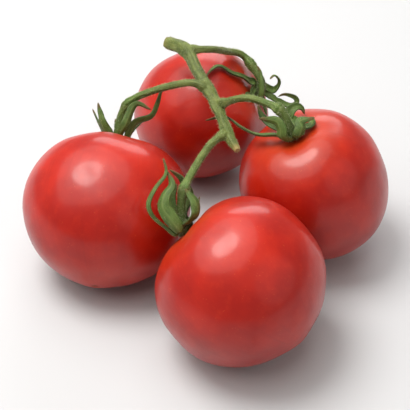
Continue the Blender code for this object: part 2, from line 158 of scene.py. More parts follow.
class Fruit:
    """One tomato's size, turn and place, and where its stalk sits."""

    def __init__(self, name):
        size, pole, wide_way = FRUITS[name]
        self.name = name
        self.wide, self.deep, self.long = (MM * side for side in size)
        self.pole = Vector(pole).normalized()
        x = Vector(wide_way)
        x = (x - x.dot(self.pole) * self.pole).normalized()
        self.turn = Matrix((x, self.pole.cross(x), self.pole)).transposed()
        self.profile = self.make_profile()
        low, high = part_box(f"{name}_tomato")
        x = (low[0] + high[0] + self.reach((-1, 0, 0)) - self.reach((1, 0, 0))) / 2
        y = (low[1] + high[1] + self.reach((0, -1, 0)) - self.reach((0, 1, 0))) / 2
        self.centre = Vector((x, y, high[2] - self.reach((0, 0, 1))))
        self.top = high[2]
        self.seat = self.centre + (self.height_at(SEAT_RADIUS) + GAP) * self.pole

    def make_profile(self):
        """(radius, height) down the side, for a fruit one metre wide and turned about its axis."""
        found = []
        for step in range(PROFILE_STEPS + 1):
            angle = math.pi * (step / PROFILE_STEPS) ** 1.1
            fullness = SHOULDER_FULLNESS if angle < math.pi / 2 else 2
            side = math.sin(angle) ** (2 / fullness) if 0 < step < PROFILE_STEPS else 0
            rise = math.copysign(abs(math.cos(angle)) ** (2 / fullness), math.cos(angle))
            dip = DIMPLE_DEPTH * bump(side * self.wide / 2, DIMPLE_RADIUS)
            found.append((side, self.long / 2 * rise - dip * (angle < math.pi / 2)))
        return found

    def reach(self, direction):
        way = self.turn.transposed() @ Vector(direction)
        across = math.hypot(way.x * self.wide, way.y * self.deep) / 2
        return max(side * across + height * way.z for side, height in self.profile)

    def height_at(self, radius):
        pairs = [(side * self.deep / 2, height) for side, height in self.profile]
        for (r0, h0), (r1, h1) in zip(pairs, pairs[1:]):
            if r1 >= radius:
                return h0 + (h1 - h0) * (radius - r0) / (r1 - r0)
        return pairs[-1][1]

    def clear_of_skin(self, place, clearance):
        """The place itself, or one moved out from this fruit's middle until it clears the skin."""
        step = place - self.centre
        way = self.turn.transposed() @ step
        side, height = 2 * math.hypot(way.x / self.wide, way.y / self.deep), way.z
        for (s0, h0), (s1, h1) in zip(self.profile, self.profile[1:]):
            before, after = side * h0 - height * s0, side * h1 - height * s1
            if before >= 0 >= after and before > after:
                share = before / (before - after)
                at_skin = math.hypot(s0 + (s1 - s0) * share, (h0 + (h1 - h0) * share) / self.long)
                skin = step.length * at_skin / math.hypot(side, height / self.long)
                if step.length < skin + clearance:
                    return self.centre + step * (skin + clearance) / step.length
        return place


fruits = {name: Fruit(name) for name in FRUITS}

# ---------------------------------------------------------------- modelling tools


def deselect():
    if bpy.context.mode != "OBJECT":
        bpy.ops.object.mode_set(mode="OBJECT")
    bpy.ops.object.select_all(action="DESELECT")


def pick(*objs):
    deselect()
    for obj in objs:
        obj.select_set(True)
    bpy.context.view_layer.objects.active = objs[-1]


def added(name):
    """The primitive that was just added, named."""
    obj = bpy.context.object
    obj.name = obj.data.name = name
    return obj


def settle(obj):
    """Puts the object's place and turn into its mesh."""
    pick(obj)
    bpy.ops.object.transform_apply(location=True, rotation=True, scale=True)


def finish_with(obj, kind, **settings):
    """Adds a modifier and applies it."""
    pick(obj)
    made = obj.modifiers.new(kind.lower(), kind)
    for name, value in settings.items():
        setattr(made, name, value)
    bpy.ops.object.modifier_apply(modifier=made.name)


def keep(obj, slot, finish, *nodes):
    """Dresses a finished piece and ties it to the frame."""
    obj.data.materials.clear()
    obj.data.materials.append(finish)
    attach(obj, "root")
    if nodes:
        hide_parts(*nodes)
    return obj


def points_of(mesh):
    found = np.empty(len(mesh.vertices) * 3)
    mesh.vertices.foreach_get("co", found)
    return found.reshape(-1, 3)


def put_attribute(mesh, name, values):
    made = mesh.attributes.new(name, "FLOAT", "POINT")
    made.data.foreach_set("value", np.asarray(values, np.float32))


def lumps(name, size, depth):
    texture = bpy.data.textures.new(name, "CLOUDS")
    texture.noise_scale = size
    texture.noise_depth = depth
    return texture


def roughen(obj, texture, height):
    finish_with(obj, "DISPLACE", texture=texture, strength=height, texture_coords="OBJECT")


# ---------------------------------------------------------------- materials


class Wire:
    """A socket in a material, with arithmetic that adds Math nodes."""

    def __init__(self, tree, socket=None):
        self.tree, self.socket = tree, socket

    def node(self, kind, sockets=None, out=0, **settings):
        made = self.tree.nodes.new(kind)
        for name, value in settings.items():
            setattr(made, name, value)
        for name, value in (sockets or {}).items():
            if isinstance(value, Wire):
                self.tree.links.new(value.socket, made.inputs[name])
            else:
                made.inputs[name].default_value = value
        return Wire(self.tree, made.outputs[out])

    def math(self, operation, *values):
        return self.node("ShaderNodeMath", dict(enumerate(values)), operation=operation)

    def __add__(self, other):
        return self.math("ADD", self, other)

    __radd__ = __add__

    def __mul__(self, other):
        return self.math("MULTIPLY", self, other)

    __rmul__ = __mul__

    def __sub__(self, other):
        return self.math("SUBTRACT", self, other)

    def __rsub__(self, other):
        return self.math("SUBTRACT", other, self)

    def ramp(self, low, high):
        """0 below low, 1 above high, and smooth between."""
        sockets = {"Value": self, "From Min": low, "From Max": high}
        return self.node("ShaderNodeMapRange", sockets, interpolation_type="SMOOTHSTEP")


class Finish:
    """A material with a Principled shader, and short words for the nodes it is wired from."""

    def __init__(self, name, **fixed):
        self.material = bpy.data.materials.new(name)
        self.material.use_nodes = True
        self.tree = self.material.node_tree
        self.shader = self.tree.nodes["Principled BSDF"]
        for socket, value in fixed.items():
            self.shader.inputs[socket.replace("_", " ")].default_value = value
        self.wire = Wire(self.tree)
        self.place = self.wire.node("ShaderNodeTexCoord", out="Object")

    def noise(self, size, detail=3.0, place=None):
        """Noise from 0 to 1 whose lumps are about this size in metres."""
        place = place or self.place
        sockets = {"Vector": place, "Scale": 1 / size, "Detail": detail, "Roughness": 0.55}
        return self.wire.node("ShaderNodeTexNoise", sockets)

    def stretched(self, scale):
        sockets = {"Vector": self.place, "Scale": scale}
        return self.wire.node("ShaderNodeMapping", sockets)

    def combined(self, x=0.0, y=0.0, z=0.0):
        return self.wire.node("ShaderNodeCombineXYZ", {"X": x, "Y": y, "Z": z})

    def cells(self, size):
        """Distance from the nearest of many scattered points, about this size apart."""
        sockets = {"Vector": self.place, "Scale": 1 / size}
        return self.wire.node("ShaderNodeTexVoronoi", sockets, out="Distance")

    def attribute(self, name):
        return self.wire.node("ShaderNodeAttribute", out="Fac", attribute_name=name)

    def blend(self, share, one, other):
        """Colour one where share is 0, and other where it is 1."""
        sockets = {0: share, 6: one, 7: other}
        return self.wire.node("ShaderNodeMix", sockets, out=2, data_type="RGBA")

    def bumped(self, height, depth):
        sockets = {"Height": height, "Distance": depth, "Strength": 1.0}
        return self.wire.node("ShaderNodeBump", sockets)

    def wear(self, **sockets):
        for name, value in sockets.items():
            self.tree.links.new(value.socket, self.shader.inputs[name.replace("_", " ")])
        return self.material


def rgb(red, green, blue):
    """A linear colour from one given as 0 to 255."""

    def straight(level):
        level /= 255
        return level / 12.92 if level <= 0.04045 else ((level + 0.055) / 1.055) ** 2.4

    return (straight(red), straight(green), straight(blue), 1)


def tomato_skin(fruit):
    """Ripe skin: deep red, faint streaks from the stem end, fine pale pores, a waxy gloss."""
    finish = Finish(
        f"{fruit.name}_skin",
        IOR=1.36,
        Coat_IOR=1.42,
        Coat_Roughness=0.16,
        Subsurface_Weight=0.12,
        Subsurface_Radius=(1.0, 0.18, 0.08),
        Subsurface_Scale=0.003,
    )
    far = finish.attribute("from_stem")
    patches = finish.noise(13 * MM, 2.0)
    mottle = finish.noise(2.2 * MM, 4.0)
    turn_x, turn_y = finish.attribute("turn_x"), finish.attribute("turn_y")
    down_the_side = finish.combined(turn_x * 0.016, turn_y * 0.016, far * 0.0015)
    streaks = finish.noise(1 * MM, 3.0, place=down_the_side)
    pores = finish.cells(0.8 * MM)
    is_pore = (1 - pores.ramp(0.08, 0.2)) * finish.noise(2.5 * MM, 1.0).ramp(0.5, 0.75)

    colour = finish.blend(patches.ramp(0.3, 0.75), rgb(156, 15, 2), rgb(182, 28, 4))
    colour = finish.blend(mottle.ramp(0.45, 0.85) * 0.25, colour, rgb(202, 50, 12))
    colour = finish.blend(streaks.ramp(0.52, 0.8) * 0.22, colour, rgb(128, 8, 2))
    colour = finish.blend((1 - far.ramp(0.0, 0.30)) * 0.38, colour, rgb(190, 78, 20))
    colour = finish.blend(far.ramp(0.75, 1.0) * 0.25, colour, rgb(208, 56, 16))
    colour = finish.blend(is_pore * 0.28, colour, rgb(236, 130, 60))
    scar = finish.attribute("scar")
    colour = finish.blend(scar, colour, rgb(92, 58, 30))

    smear = finish.noise(7 * MM, 3.0, place=finish.stretched((1, 1, 0.5)))
    rough = 0.42 + smear.ramp(0.35, 0.8) * 0.12 + scar * 0.4
    coat = 0.5 - smear.ramp(0.5, 0.85) * 0.25 - scar * 0.6
    skin_grain = finish.noise(0.35 * MM, 2.0)
    relief = skin_grain * 0.3 + mottle * 0.9 - is_pore * 0.3 + streaks * 0.6
    normal = finish.bumped(relief, 0.05 * MM)
    return finish.wear(Base_Color=colour, Roughness=rough, Coat_Weight=coat, Normal=normal)


def stem_green():
    """Live stem: olive green, paler ridges, fibres along it, dark specks, painted shade in the
    calyx throat, tan where it dried.
    """
    finish = Finish("stem_green", IOR=1.42, Subsurface_Weight=0.06, Subsurface_Scale=0.0008)
    round_x, round_y = finish.attribute("round_x"), finish.attribute("round_y")
    lengthways = finish.combined(finish.attribute("along") * 0.12, round_x, round_y)
    off_seam = 1 - finish.attribute("seam")
    fibres = (finish.noise(0.42 * MM, 3.0, place=lengthways) - 0.5) * off_seam + 0.5
    patches = finish.noise(3.5 * MM, 3.0)
    fine = finish.noise(0.45 * MM, 3.0)
    specks = (1 - finish.cells(1.3 * MM).ramp(0.06, 0.16)) * finish.noise(3 * MM).ramp(0.45, 0.6)

    colour = finish.blend(patches.ramp(0.3, 0.7), rgb(74, 88, 36), rgb(104, 116, 56))
    colour = finish.blend(fibres.ramp(0.5, 0.75) * 0.5, colour, rgb(144, 150, 90))
    colour = finish.blend((1 - fibres.ramp(0.3, 0.5)) * 0.5, colour, rgb(52, 62, 22))
    colour = finish.blend(fine.ramp(0.6, 0.8) * 0.35, colour, rgb(136, 142, 82))
    colour = finish.blend(finish.attribute("fresh") * 0.45, colour, rgb(70, 108, 36))
    colour = finish.blend(specks * 0.75, colour, rgb(40, 30, 16))
    colour = finish.blend(finish.attribute("groove") * 0.7, colour, rgb(52, 48, 20))
    # Painted shade: the calyx throat round each seat is darkened as if it lay in shadow.
    colour = finish.blend(finish.attribute("throat_shade") * 0.75, colour, rgb(40, 38, 16))
    dry = finish.attribute("dry")
    dry_tone = finish.blend(fibres, rgb(140, 106, 58), rgb(198, 170, 114))
    colour = finish.blend(dry, colour, dry_tone)

    rough = 0.52 + fine * 0.2 + dry * 0.15
    normal = finish.bumped(fibres * 0.9 + fine * 0.4 + patches * 0.4 - specks * 0.4, 0.16 * MM)
    return finish.wear(Base_Color=colour, Roughness=rough, Normal=normal)


def leaf_green():
    """Sepal: a paler midrib and faint veins, thin darker margins, brown at the dry tip."""
    finish = Finish("leaf_green", IOR=1.42, Subsurface_Weight=0.1, Subsurface_Scale=0.0006)
    along, across = finish.attribute("along"), finish.attribute("across")
    off_middle = across.math("ABSOLUTE", across)
    patches = finish.noise(2.0 * MM, 3.0)
    fine = finish.noise(0.3 * MM, 3.0)
    threads = finish.noise(0.26, 3.0, place=finish.combined(along * 2.2, across * 1.4))
    midrib = 1 - off_middle.ramp(0.02, 0.2)

    colour = finish.blend(patches.ramp(0.3, 0.7), rgb(50, 74, 26), rgb(78, 102, 42))
    colour = finish.blend(finish.attribute("fresh") * 0.75, colour, rgb(98, 124, 54))
    colour = finish.blend(threads.ramp(0.5, 0.75) * 0.4, colour, rgb(118, 136, 74))
    colour = finish.blend((1 - threads.ramp(0.3, 0.5)) * 0.35, colour, rgb(42, 62, 22))
    colour = finish.blend(fine.ramp(0.55, 0.8) * 0.25, colour, rgb(112, 130, 68))
    colour = finish.blend(midrib * 0.3, colour, rgb(126, 142, 80))
    colour = finish.blend(off_middle.ramp(0.8, 1.0) * 0.5, colour, rgb(40, 50, 20))
    tip = finish.attribute("dry")
    colour = finish.blend(tip, colour, finish.blend(fine, rgb(66, 50, 24), rgb(120, 94, 52)))

    rough = 0.5 + patches * 0.2 + tip * 0.1
    normal = finish.bumped(threads * 0.8 + midrib * 0.3 + fine * 0.5, 0.12 * MM)
    return finish.wear(Base_Color=colour, Roughness=rough, Normal=normal)


def fuzz_white():
    """Fine hairs: pale, and greener in patches."""
    finish = Finish("fuzz_white", IOR=1.4)
    tone = finish.noise(2 * MM, 2.0)
    colour = finish.blend(tone.ramp(0.3, 0.7), rgb(150, 160, 104), rgb(200, 204, 168))
    return finish.wear(Base_Color=colour, Roughness=0.45 + tone * 0.2)


def table_white():
    """A plain, matt, nearly white table top."""
    finish = Finish("table_white")
    tone = finish.noise(400 * MM, 2.0)
    grain = finish.noise(2 * MM, 2.0)
    colour = finish.blend(tone, rgb(188, 190, 193), rgb(194, 196, 199))
    return finish.wear(Base_Color=colour, Roughness=0.6 + grain * 0.1)


STEM = stem_green()
LEAF = leaf_green()
FUZZ = fuzz_white()

# ---------------------------------------------------------------- tomatoes


def drawn_line(name, points):
    """A wire mesh drawn by extruding one corner from point to point."""
    deselect()
    bpy.ops.mesh.primitive_plane_add(size=MM, location=(0, 0, 0))
    obj = added(name)
    bpy.ops.object.mode_set(mode="EDIT")
    bpy.ops.mesh.select_all(action="SELECT")
    bpy.ops.mesh.merge(type="CENTER")
    bpy.ops.transform.translate(value=points[0])
    for one, other in zip(points, points[1:]):
        bpy.ops.mesh.extrude_vertices_move(TRANSFORM_OT_translate={"value": other - one})
    return obj


FRUIT_SIDES = 112
SCAR_RADIUS = 0.9 * MM
FURROWS = 5
FURROW_STRAY = 0.18
# Down each furrow, in millimetres: how far out from the axis, how deep, and how wide.
FURROW_DENTS = ((4.5, 0.42, 4.5), (10.5, 0.5, 8.0), (17.0, 0.3, 11.0))
LUMP_SIZE, LUMP_HEIGHT = 19 * MM, 1.2 * MM


def add_fruit(fruit, seed):
    """A turned fruit, softly furrowed and lumpy, and cut flat where it rests."""
    radius = fruit.wide / 2
    line = [Vector((side * radius, 0, height)) for side, height in fruit.profile]
    obj = drawn_line(f"{fruit.name}_fruit", line)
    bpy.ops.mesh.select_all(action="SELECT")
    bpy.ops.mesh.spin(steps=FRUIT_SIDES, angle=2 * math.pi, center=(0, 0, 0), axis=(0, 0, 1))
    bpy.ops.mesh.select_all(action="SELECT")
    bpy.ops.mesh.remove_doubles(threshold=0.01 * MM)
    bpy.ops.mesh.normals_make_consistent(inside=False)
    bpy.ops.transform.resize(value=(1, fruit.deep / fruit.wide, 1))
    bpy.ops.object.mode_set(mode="OBJECT")
    mark_fruit(obj, fruit)

    # Shallow furrows run out of the dimple, between faint lobes.
    chance = random.Random(seed)
    first = chance.uniform(0, 2 * math.pi)
    for furrow in range(FURROWS):
        stray = chance.uniform(-FURROW_STRAY, FURROW_STRAY)
        angle = first + 2 * math.pi * (furrow + stray) / FURROWS
        for radius, depth, reach in FURROW_DENTS:
            depth *= chance.uniform(0.5, 1.2)
            press(obj, fruit, angle, radius * MM, depth * MM, reach * MM)
    # The blossom end is a little drawn out, and dented at its scar.
    drawn = Vector((0, 0, -0.5 * MM))
    blossom_end = Vector((0, 0, -fruit.long / 2))
    push(obj, blossom_end, drawn, 7 * MM)
    push(obj, blossom_end + drawn, -drawn, 1.4 * MM)

    obj.matrix_world = Matrix.Translation(fruit.centre) @ fruit.turn.to_4x4()
    settle(obj)
    roughen(obj, lumps(f"{fruit.name}_lumps", LUMP_SIZE, 1), LUMP_HEIGHT)
    bpy.ops.object.mode_set(mode="EDIT")
    bpy.ops.mesh.select_all(action="SELECT")
    bpy.ops.mesh.bisect(plane_co=(0, 0, 0), plane_no=(0, 0, 1), clear_inner=True, use_fill=False)
    bpy.ops.mesh.select_all(action="SELECT")
    bpy.ops.mesh.remove_doubles(threshold=0.03 * MM)
    bpy.ops.mesh.fill_holes(sides=0)
    bpy.ops.object.mode_set(mode="OBJECT")
    bpy.ops.object.shade_smooth_by_angle(angle=math.radians(50))
    return keep(obj, "tomato_skin", tomato_skin(fruit), f"{fruit.name}_tomato")


def mark_fruit(obj, fruit):
    """Notes on each point how far down the side it is, which way it faces, and the scar."""
    places = points_of(obj.data)
    side = np.hypot(places[:, 0] / fruit.wide, places[:, 1] / fruit.deep) * 2
    angle = np.arctan2(side, places[:, 2] * 2 / fruit.long)
    put_attribute(obj.data, "from_stem", angle / math.pi)
    turn = np.arctan2(places[:, 1], places[:, 0])
    put_attribute(obj.data, "turn_x", np.cos(turn))
    put_attribute(obj.data, "turn_y", np.sin(turn))
    low = places[:, 2] < 0
    off_axis = np.hypot(places[:, 0], places[:, 1])
    put_attribute(obj.data, "scar", low * np.exp(-((off_axis / SCAR_RADIUS) ** 4)))


def push(obj, place, step, reach):
    """Moves the point nearest to a place, and the skin round it with it, as soft clay."""
    pick(obj)
    places = points_of(obj.data)
    nearest = int(np.argmin(((places - np.array(place)) ** 2).sum(1)))
    bpy.ops.object.mode_set(mode="EDIT")
    bpy.ops.mesh.select_all(action="DESELECT")
    bpy.ops.object.mode_set(mode="OBJECT")
    obj.data.vertices[nearest].select = True
    bpy.ops.object.mode_set(mode="EDIT")
    bpy.ops.transform.translate(
        value=step,
        use_proportional_edit=True,
        proportional_edit_falloff="SMOOTH",
        proportional_size=reach,
    )
    bpy.ops.object.mode_set(mode="OBJECT")


def press(obj, fruit, angle, radius, depth, reach):
    """Pushes in the fruit's upper skin at an angle round the axis and a distance from it."""
    place = Vector((radius * math.cos(angle), radius * math.sin(angle), fruit.height_at(radius)))
    push(obj, place, -place.normalized() * depth, reach)


# ---------------------------------------------------------------- stem routes

RACHIS_POINTS, STEM_POINTS = 120, 140


def make_rachis():
    middle = sum((fruit.centre for fruit in fruits.values()), Vector()) / len(fruits)
    middle.z = max(fruit.top for fruit in fruits.values())
    return smooth_route([middle + MM * Vector(step) for step in RACHIS_ROUTE], RACHIS_POINTS)


ROUTE_ROUNDS = 3
FOOT_LENGTH = 2.2 * MM
FOOT_FLARE, FOOT_REACH = 1.15 * MM, 1.9 * MM
ROOT_FLARE, ROOT_REACH = 0.55 * MM, 1.6 * MM
PINCH_DEPTH, PINCH_REACH = 0.3 * MM, 0.28 * MM
RACHIS_SWELLING, RACHIS_SWELLING_REACH = 0.35 * MM, 2.4 * MM
RACHIS_SHRIVEL, RACHIS_SHRIVEL_FROM = 0.35 * MM, 0.93


def eased(route):
    """The route with each inner point drawn between its neighbours."""
    inner = [(a + 2 * b + c) / 4 for a, b, c in zip(route, route[1:], route[2:])]
    return [route[0], *inner, route[-1]]


class FruitStem:
    """The way from the rachis to one fruit's calyx, parted at the knuckle."""

    def __init__(self, fruit, rachis):
        share, from_rachis, from_seat, self.knuckle_distance = STEM_PLANS[fruit.name]
        index = round(share * (len(rachis) - 1))
        seat = self.seat = fruit.seat
        first = [rachis[index] + MM * Vector(step) for step in from_rachis]
        last = [seat + leaned(*step) for step in from_seat]
        start = rachis[index]
        foot = [seat + fruit.pole * FOOT_LENGTH * part for part in (1, 0.75, 0.5, 0.25, 0)]
        route = smooth_route([start, *first, *last, foot[0]], 90)
        for other in fruits.values():
            clear = KNUCKLE_RADIUS + GAP
            route = [other.clear_of_skin(place, clear) for place in route[:-1]] + route[-1:]
        route = route[::4] + foot[1:-1]
        for _ in range(ROUTE_ROUNDS):
            route = eased(route)
        self.route = smooth_route(route + foot[-1:], STEM_POINTS)
        lengths = np.cumsum([0] + [(b - a).length for a, b in zip(self.route, self.route[1:])])
        self.at_knuckle = int(np.searchsorted(lengths, lengths[-1] - self.knuckle_distance))
        self.knuckle = self.route[self.at_knuckle]
        self.start = start

    def radius(self, i):
        place = self.route[i]
        plain = PEDICEL_RADIUS if i <= self.at_knuckle else STALK_RADIUS
        off_knuckle = (place - self.knuckle).length
        swelling = (KNUCKLE_RADIUS - plain) * bump(off_knuckle, KNUCKLE_LENGTH)
        pinch = PINCH_DEPTH * bump(off_knuckle, PINCH_REACH)
        root = ROOT_FLARE * bump((place - self.start).length - PEDUNCLE_RADIUS, ROOT_REACH)
        foot = FOOT_FLARE * bump((place - self.seat).length, FOOT_REACH)
        return plain + swelling - pinch + root + foot


rachis_route = make_rachis()
fruit_stems = {name: FruitStem(fruits[name], rachis_route) for name in fruits}


def rachis_radius(i):
    share = i / (len(rachis_route) - 1)
    plain = PEDUNCLE_RADIUS + (RACHIS_TIP_RADIUS - PEDUNCLE_RADIUS) * share
    place = rachis_route[i]
    nearest = min((place - stem.start).length for stem in fruit_stems.values())
    swelling = RACHIS_SWELLING * bump(nearest, RACHIS_SWELLING_REACH)
    shrivelled = max(0, (share - RACHIS_SHRIVEL_FROM) / (1 - RACHIS_SHRIVEL_FROM))
    shrivel = RACHIS_SHRIVEL * shrivelled
    return plain + swelling - shrivel


STEM_SIDES = 40
STEM_TWIST = 1.5
STEM_VOXEL = 0.17 * MM
# Rib height as a share of the radius, ribs in a turn, and where the first one stands.
STEM_RIBS = ((0.055, 5, 0), (0.03, 8, 1), (0.03, 3, 2))


def ribbed_outline():
    """The stem's cross-section one millimetre in radius: uneven ribs round a rough circle."""
    deselect()
    bpy.ops.curve.primitive_bezier_circle_add(radius=MM)
    outline = bpy.context.object
    outline.name = "ribbed_outline"
    spline = outline.data.splines[0]
    spline.type = "POLY"
    spline.points.add(STEM_SIDES - len(spline.points))
    for i, point in enumerate(spline.points):
        turn = 2 * math.pi * i / STEM_SIDES
        ribs = sum(high * math.cos(count * turn + first) for high, count, first in STEM_RIBS)
        reach = MM * (1 + ribs)
        point.co = (reach * math.cos(turn), reach * math.sin(turn), 0, 1)
    spline.use_cyclic_u = True
    return outline


def stem_tube(name, route, radii, outline):
    """A ribbed tube along a route, as a mesh with closed ends."""
    deselect()
    bpy.ops.curve.primitive_bezier_curve_add()
    obj = added(name)
    curve = obj.data
    curve.splines.clear()
    spline = curve.splines.new("POLY")
    spline.points.add(len(route) - 1)
    for i, (point, place, radius) in enumerate(zip(spline.points, route, radii)):
        point.co = (*place, 1)
        point.radius = radius / MM
        point.tilt = STEM_TWIST * i / len(route)
    curve.dimensions = "3D"
    curve.bevel_mode = "OBJECT"
    curve.bevel_object = outline
    curve.use_fill_caps = True
    pick(obj)
    bpy.ops.object.convert(target="MESH")
    bpy.ops.object.mode_set(mode="EDIT")
    bpy.ops.mesh.select_all(action="SELECT")
    bpy.ops.mesh.remove_doubles(threshold=0.005 * MM)
    bpy.ops.mesh.normals_make_consistent(inside=False)
    bpy.ops.object.mode_set(mode="OBJECT")
    return bpy.context.object


def fused(name, tubes, rounds):
    """Joins tubes into one skin, with soft fillets where they meet."""
    pick(*tubes)
    bpy.ops.object.join()
    obj = added(name)
    finish_with(obj, "REMESH", mode="VOXEL", voxel_size=STEM_VOXEL)
    finish_with(obj, "SMOOTH", factor=0.5, iterations=rounds)
    return obj


GRAIN_RADIUS = 1.3 * MM
SEAM_REACH = 0.7 * MM


def along_and_round(places, routes):
    """For each point, along the nearest route and round it, in metres, and how near a seam is.

    The way round is given as two numbers, so that it has no break where a turn ends.
    """
    near, found = [], []
    for route in routes:
        frames = carried_frames(route, Vector((0.3, 0.2, 0.9)))
        centre, side, up = (np.array([item[k] for item in frames]) for k in range(3))
        lengths = np.cumsum(np.r_[0, np.linalg.norm(np.diff(centre, axis=0), axis=1)])
        parts = np.array_split(places, 8)
        apart = [np.linalg.norm(part[:, None] - centre[None], axis=2) for part in parts]
        apart = np.concatenate(apart)
        index = apart.argmin(1)
        step = places - centre[index]
        across, rise = (step * side[index]).sum(1), (step * up[index]).sum(1)
        reach = np.hypot(across, rise) + 1e-9
        round_x, round_y = GRAIN_RADIUS * across / reach, GRAIN_RADIUS * rise / reach
        near.append(apart.min(1))
        found.append(np.stack([lengths[index], round_x, round_y]))
    near, found = np.array(near), np.array(found)
    best = near.argmin(0)
    chosen = found[best, :, np.arange(len(places))]
    if len(routes) == 1:
        return (*chosen.T, np.zeros(len(places)))
    ranked = np.sort(near, axis=0)
    return (*chosen.T, np.exp(-(((ranked[1] - ranked[0]) / SEAM_REACH) ** 2)))


def spots(places, centres, reach):
    """1 at the centres, fading to 0 over the reach."""
    found = np.zeros(len(places))
    for centre in centres:
        apart = np.linalg.norm(places - np.array(centre), axis=1)
        found = np.maximum(found, np.exp(-((apart / reach) ** 2)))
    return found


GROOVE_REACH = 0.75 * MM
# How far the painted shade of a calyx throat reaches from the seat.
THROAT_SHADE_REACH = 5 * MM
DRY_REACH = 1.5 * MM
FRESH_REACH = 9 * MM


def mark_stem(obj, routes, knuckles, dry_ends, fresh_ends, shaded_throats=()):
    """Notes what the green of the stem is wired from, including where shade is painted round the
    calyx throats.
    """
    places = points_of(obj.data)
    names = ("along", "round_x", "round_y", "seam")
    for name, values in zip(names, along_and_round(places, routes)):
        put_attribute(obj.data, name, values)
    put_attribute(obj.data, "groove", spots(places, knuckles, GROOVE_REACH))
    put_attribute(obj.data, "throat_shade", spots(places, shaded_throats, THROAT_SHADE_REACH))
    put_attribute(obj.data, "dry", spots(places, dry_ends, DRY_REACH))
    put_attribute(obj.data, "fresh", spots(places, fresh_ends, FRESH_REACH))


def add_branch(outline):
    """The rachis and the pedicels, up to the knuckles."""
    radii = [rachis_radius(i) for i in range(len(rachis_route))]
    tubes = [stem_tube("rachis_tube", rachis_route, radii, outline)]
    routes, knuckles = [rachis_route], []
    for name, stem in fruit_stems.items():
        last = stem.at_knuckle + 2
        radii = [stem.radius(i) for i in range(last)]
        tubes.append(stem_tube(f"{name}_pedicel_tube", stem.route[:last], radii, outline))
        routes.append(stem.route[:last])
        knuckles.append(stem.knuckle)
    branch = fused("branch", tubes, 5)
    roughen(branch, lumps("bark_lumps", 2.2 * MM, 2), 0.16 * MM)
    mark_stem(branch, routes, knuckles, [rachis_route[-1], rachis_route[0]], knuckles)
    pick(branch)
    bpy.ops.object.shade_smooth()
    nodes = ["rachis", *(f"{name}_pedicel" for name in fruits)]
    return keep(branch, "green_stem", STEM, *nodes)


def add_stalk(name, outline):
    """The short stalk past the knuckle, and the receptacle that the sepals stand round."""
    fruit, stem = fruits[name], fruit_stems[name]
    part = range(stem.at_knuckle - 1, len(stem.route))
    route = [stem.route[i] for i in part]
    tube = stem_tube(f"{name}_stalk_tube", route, [stem.radius(i) for i in part], outline)
    deselect()
    bpy.ops.mesh.primitive_uv_sphere_add(segments=36, ring_count=18, radius=RECEPTACLE_RADIUS)
    button = added(f"{name}_receptacle")
    button.matrix_world = (
        Matrix.Translation(stem.seat + fruit.pole * 0.35 * MM)
        @ fruit.turn.to_4x4()
        @ Matrix.Diagonal((1.05, 1.05, 0.42, 1))
    )
    settle(button)
    stalk = fused(f"{name}_stalk_skin", [tube, button], 6)
    # The seat is also where shade is painted into the calyx throat.
    mark_stem(stalk, [route], [stem.knuckle], [], [stem.seat], [stem.seat])
    pick(stalk)
    bpy.ops.object.shade_smooth()
    return keep(stalk, "green_stem", STEM, f"{name}_stalk")


# ---------------------------------------------------------------- sepals

